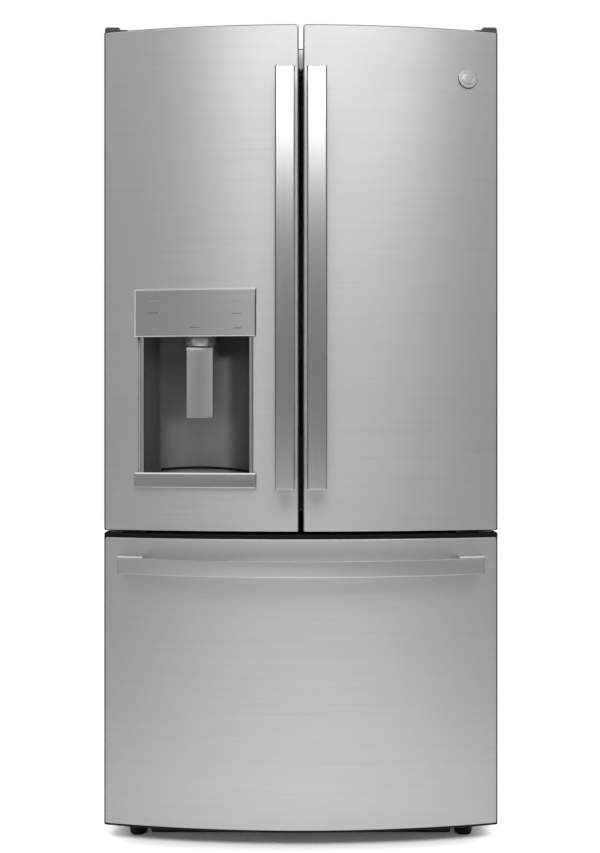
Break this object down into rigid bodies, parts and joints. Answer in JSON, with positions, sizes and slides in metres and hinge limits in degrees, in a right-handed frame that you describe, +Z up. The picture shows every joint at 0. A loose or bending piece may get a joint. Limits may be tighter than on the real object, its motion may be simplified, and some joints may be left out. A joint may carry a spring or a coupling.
{
  "type": "french door refrigerator",
  "caption": "Refrigerator with two bowed hinged upper doors, an ice and water dispenser in the left one, and a pull-out freezer drawer below.",
  "frame": {"origin": "on the floor, under the middle of the whole refrigerator, handles included", "axes": "+Z up; the doors face -Y; +X is to the right of someone facing the doors"},
  "size_m": [0.832, 0.918, 1.748],
  "materials": {
    "painted_steel": "dark grey textured paint on the cabinet's wrap",
    "galvanised_steel": "plain galvanised sheet",
    "stainless": "brushed stainless sheet, grain across the door",
    "handle_steel": "finely brushed stainless bar",
    "foam": "polyurethane foam, hidden",
    "white_liner": "white vacuum-formed inner panel, satin",
    "gasket": "grey magnetic gasket",
    "dark_plastic": "dark grey moulded plastic",
    "black_plastic": "black moulded plastic",
    "clear_plastic": "clear moulded plastic",
    "glass": "tempered shelf glass",
    "zinc_steel": "zinc-plated hardware",
    "black_enamel": "black enamelled compressor",
    "aluminium": "finned coil",
    "satin_grey": "metallic grey dispenser trim",
    "recess_grey": "dark satin dispenser recess",
    "fascia_steel": "brushed dispenser fascia",
    "roller_plastic": "pale nylon wheels",
    "light_lens": "frosted lamp lens"
  },
  "bodies": {
    "cabinet": {"outer_case": "painted_steel", "rear_panel": "galvanised_steel", "cabinet_foam": "foam", "fresh_food_liner": "white_liner", "freezer_liner": "white_liner", "top_hinges": "zinc_steel", "hinge_covers": "dark_plastic", "middle_hinges": "zinc_steel", "base_frame": "galvanised_steel", "toe_grille": "black_plastic", "machine_cover": "galvanised_steel", "cord_gland": "black_plastic", "water_valve": "black_plastic", "compressor": "black_enamel", "condenser": "aluminium", "drain_pan": "black_plastic", "air_duct": "white_liner", "evaporator_cover": "white_liner", "shelf_frames": "clear_plastic", "glass_shelves": "glass", "crisper_rack": "white_liner", "crisper_drawers": "clear_plastic", "deli_drawer": "clear_plastic", "ceiling_light": "light_lens", "mullion_guide": "dark_plastic", "slide_outer_rails": "zinc_steel"},
    "left_door": {"left_door_skin": "stainless", "left_door_inner": "white_liner", "left_door_caps": "dark_plastic", "left_door_gasket": "gasket", "left_door_bins": "clear_plastic", "left_handle": "handle_steel", "ice_box": "white_liner", "dispenser_housing": "recess_grey", "dispenser_panel": "fascia_steel", "dispenser_bezel": "satin_grey", "dispenser_chute": "satin_grey", "drip_tray": "recess_grey"},
    "right_door": {"right_door_skin": "stainless", "right_door_inner": "white_liner", "right_door_caps": "dark_plastic", "right_door_gasket": "gasket", "right_door_bins": "clear_plastic", "right_handle": "handle_steel"},
    "mullion": {"mullion": "dark_plastic"},
    "dispenser_paddle": {"dispenser_paddle": "satin_grey"},
    "freezer_drawer": {"drawer_skin": "stainless", "drawer_inner": "white_liner", "drawer_caps": "dark_plastic", "drawer_gasket": "gasket", "drawer_handle": "handle_steel", "slide_inner_rails": "zinc_steel", "lower_basket": "white_liner"},
    "drawer_slides": {"slide_middle_rails": "zinc_steel"},
    "upper_basket": {"upper_basket": "white_liner"},
    "condenser_fan": {"condenser_fan": "black_plastic"},
    "leveling_leg_left": {"leveling_leg_left": "black_plastic"},
    "leveling_leg_right": {"leveling_leg_right": "black_plastic"},
    "roller_left": {"roller_left": "roller_plastic"},
    "roller_right": {"roller_right": "roller_plastic"}
  },
  "joints": [
    {"name": "left_door_hinge", "type": "hinge", "parent": "cabinet", "child": "left_door", "pos_m": [-0.394, -0.323, 1.2035], "axis": [0, 0, -1], "range_deg": [0, 120]},
    {"name": "right_door_hinge", "type": "hinge", "parent": "cabinet", "child": "right_door", "pos_m": [0.394, -0.323, 1.2035], "axis": [0, 0, 1], "range_deg": [0, 120]},
    {"name": "mullion_fold", "type": "hinge", "parent": "left_door", "child": "mullion", "pos_m": [-0.0355, -0.277, 1.2035], "axis": [0, 0, 1], "range_deg": [-90, 0]},
    {"name": "freezer_drawer_slide", "type": "slide", "parent": "cabinet", "child": "freezer_drawer", "axis": [0, -1, 0], "range_m": [0, 0.42]},
    {"name": "slide_extension", "type": "slide", "parent": "cabinet", "child": "drawer_slides", "axis": [0, -1, 0], "range_m": [0, 0.21]},
    {"name": "upper_basket_slide", "type": "slide", "parent": "cabinet", "child": "upper_basket", "axis": [0, -1, 0], "range_m": [0, 0.231]},
    {"name": "dispenser_paddle_swing", "type": "hinge", "parent": "left_door", "child": "dispenser_paddle", "pos_m": [-0.213, -0.32934, 1.056], "axis": [1, 0, 0], "range_deg": [0, 12], "stiffness_Nm_per_rad": 0.4},
    {"name": "condenser_fan_spin", "type": "hinge", "parent": "cabinet", "child": "condenser_fan", "pos_m": [0.048, 0.361, 0.153], "axis": [1, 0, 0], "continuous": true},
    {"name": "leg_left_turn", "type": "hinge", "parent": "cabinet", "child": "leveling_leg_left", "pos_m": [-0.358, -0.261, 0.02], "axis": [0, 0, 1], "range_deg": [-360, 360]},
    {"name": "leg_right_turn", "type": "hinge", "parent": "cabinet", "child": "leveling_leg_right", "pos_m": [0.358, -0.261, 0.02], "axis": [0, 0, 1], "range_deg": [-360, 360]},
    {"name": "roller_left_spin", "type": "hinge", "parent": "cabinet", "child": "roller_left", "pos_m": [-0.345, 0.389, 0.02], "axis": [1, 0, 0], "continuous": true},
    {"name": "roller_right_spin", "type": "hinge", "parent": "cabinet", "child": "roller_right", "pos_m": [0.345, 0.389, 0.02], "axis": [1, 0, 0], "continuous": true}
  ],
  "couplings": [
    {"joint": "slide_extension", "follows": "freezer_drawer_slide", "ratio": 0.5},
    {"joint": "upper_basket_slide", "follows": "freezer_drawer_slide", "ratio": 0.55}
  ]
}
